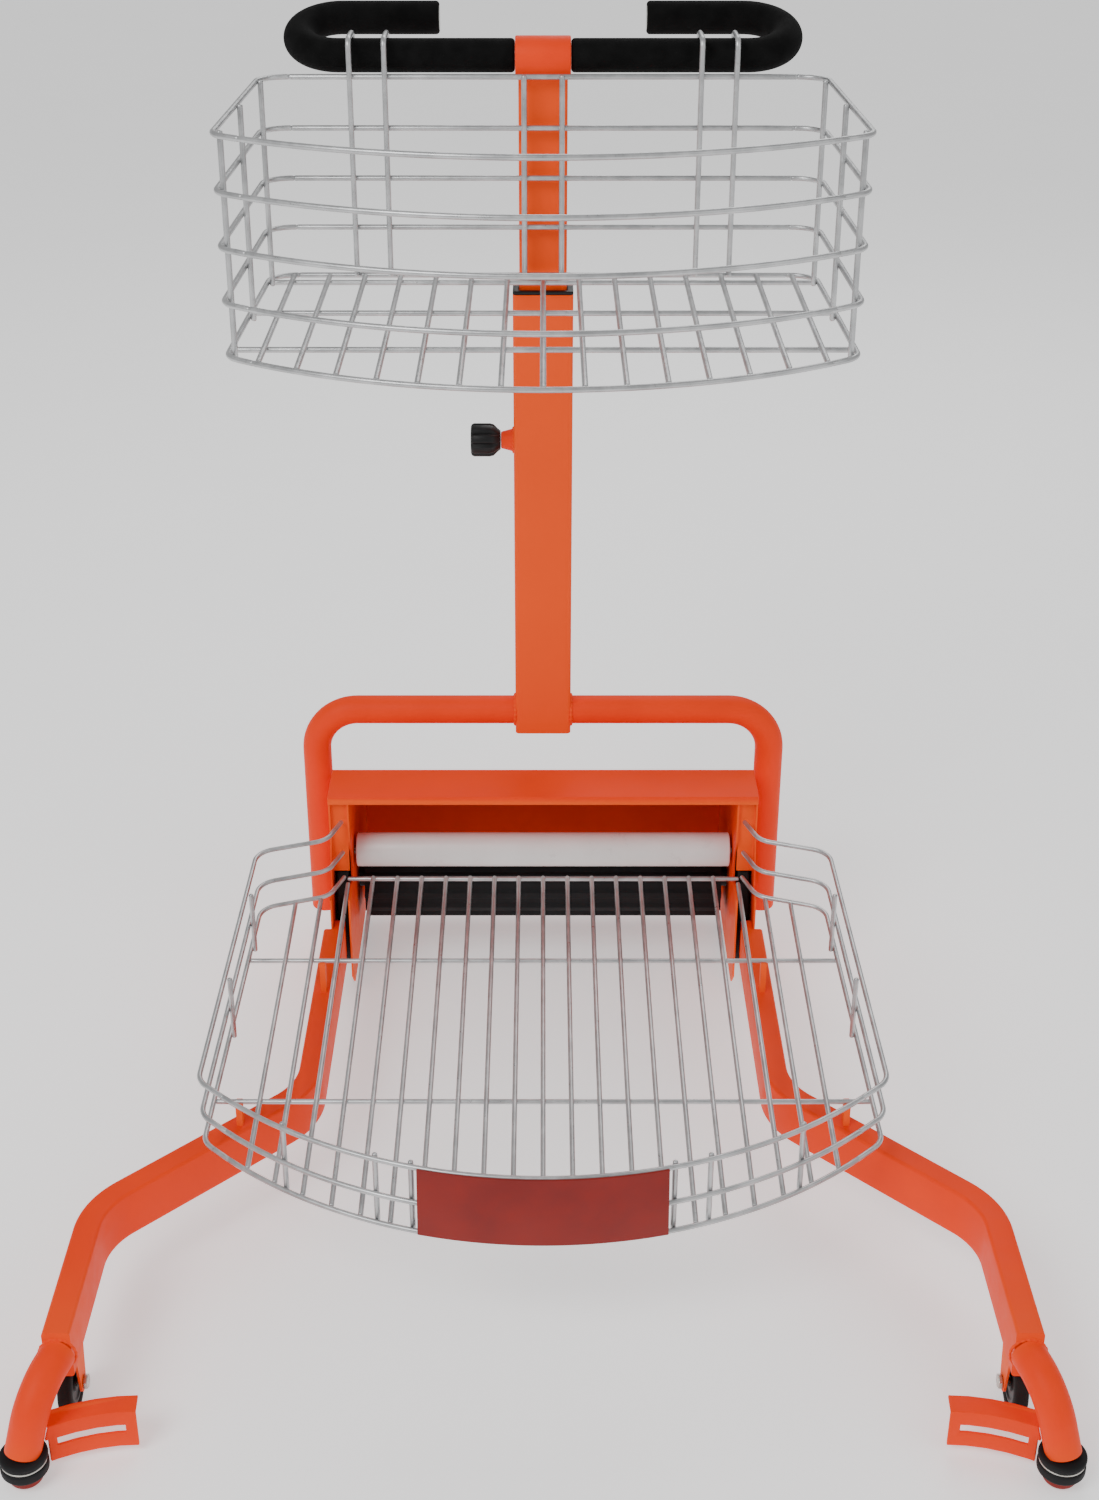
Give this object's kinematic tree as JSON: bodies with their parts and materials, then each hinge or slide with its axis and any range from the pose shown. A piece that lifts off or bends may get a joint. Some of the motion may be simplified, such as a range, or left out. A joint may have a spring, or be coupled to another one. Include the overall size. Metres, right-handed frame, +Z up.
{
  "type": "tennis ball collector cart",
  "caption": "Push cart that sweeps up tennis balls under a rear hood into a wire basket, with a second basket hung on a height-adjustable mast and handlebar.",
  "frame": {"origin": "on the floor, below the middle of the overall box", "axes": "+Z up, +Y towards the person pushing, +X to the right seen from the front"},
  "size_m": [0.9374, 0.9815, 1.0925],
  "materials": {
    "orange": "satin powder coat",
    "red_paint": "satin paint",
    "foam": "matt closed-cell foam",
    "black_plastic": "moulded, satin",
    "rubber": "matt",
    "tyre": "matt",
    "white_plastic": "smooth",
    "wire": "satin plated wire",
    "zinc": "zinc plated, half bright"
  },
  "bodies": {
    "chassis": {"arch_frame": "orange", "mast_outer_tube": "orange", "mast_collar": "black_plastic", "hood": "orange", "axle": "zinc", "guide_roller_shaft": "zinc", "arm_left": "orange", "arm_right": "orange", "leg_cap_left": "red_paint", "leg_cap_right": "red_paint", "roller_washer_left": "zinc", "roller_washer_right": "zinc", "ball_guide_left": "orange", "ball_guide_right": "orange", "front_axle_left": "zinc", "front_axle_right": "zinc", "inner_side_plate_left": "orange", "inner_side_plate_right": "orange", "outer_side_plate_left": "orange", "outer_side_plate_right": "orange", "rail_joint_block_left": "orange", "rail_joint_block_right": "orange", "leg_spacer_left": "orange", "leg_spacer_right": "orange"},
    "handle": {"mast_inner_tube": "orange", "bar_clamp": "orange", "handlebar": "zinc", "foam_grip_left": "foam", "foam_grip_right": "foam"},
    "knob": {"clamp_knob": "black_plastic", "clamp_screw": "zinc"},
    "upper_basket": {"upper_basket_floor": "wire", "upper_basket_front": "wire", "upper_basket_back": "wire", "upper_basket_side_left": "wire", "upper_basket_side_right": "wire", "basket_hook_left": "wire", "basket_hook_right": "wire"},
    "lower_basket": {"lower_basket_floor": "wire", "lower_basket_front": "wire", "front_plate": "red_paint", "lower_basket_side_left": "wire", "lower_basket_side_right": "wire"},
    "rotor": {"rotor": "rubber", "drive_wheel_left": "black_plastic", "drive_wheel_right": "black_plastic", "drive_tyre_left": "tyre", "drive_tyre_right": "tyre"},
    "guide_roller": {"guide_roller": "white_plastic"},
    "front_wheel_left": {"front_tyre_left": "tyre", "front_hub_left": "black_plastic"},
    "front_wheel_right": {"front_tyre_right": "tyre", "front_hub_right": "black_plastic"},
    "bumper_left": {"bumper_roller_left": "rubber"},
    "bumper_right": {"bumper_roller_right": "rubber"}
  },
  "joints": [
    {"name": "mast_slide", "type": "slide", "parent": "chassis", "child": "handle", "axis": [0, 0, 1], "range_m": [-0.15, 0.08]},
    {"name": "knob_turn", "type": "hinge", "parent": "chassis", "child": "knob", "pos_m": [-0.062, 0.393, 0.647], "axis": [-1, 0, 0], "range_deg": [0, 360]},
    {"name": "upper_basket_lift", "type": "slide", "parent": "handle", "child": "upper_basket", "axis": [0, 0, 1], "range_m": [0, 0.06]},
    {"name": "lower_basket_lift", "type": "slide", "parent": "chassis", "child": "lower_basket", "axis": [0, -0.7071, 0.7071], "range_m": [0, 0.06]},
    {"name": "rotor_spin", "type": "hinge", "parent": "chassis", "child": "rotor", "pos_m": [0, 0.373, 0.105], "axis": [1, 0, 0], "continuous": true},
    {"name": "guide_roller_spin", "type": "hinge", "parent": "chassis", "child": "guide_roller", "pos_m": [0, 0.323, 0.169], "axis": [1, 0, 0], "continuous": true},
    {"name": "front_wheel_left_spin", "type": "hinge", "parent": "chassis", "child": "front_wheel_left", "pos_m": [-0.424, -0.385, 0.0295], "axis": [1, 0, 0], "continuous": true},
    {"name": "front_wheel_right_spin", "type": "hinge", "parent": "chassis", "child": "front_wheel_right", "pos_m": [0.424, -0.385, 0.0295], "axis": [1, 0, 0], "continuous": true},
    {"name": "bumper_left_spin", "type": "hinge", "parent": "chassis", "child": "bumper_left", "pos_m": [-0.448, -0.47, 0.022], "axis": [0, 0, 1], "continuous": true},
    {"name": "bumper_right_spin", "type": "hinge", "parent": "chassis", "child": "bumper_right", "pos_m": [0.448, -0.47, 0.022], "axis": [0, 0, 1], "continuous": true}
  ]
}
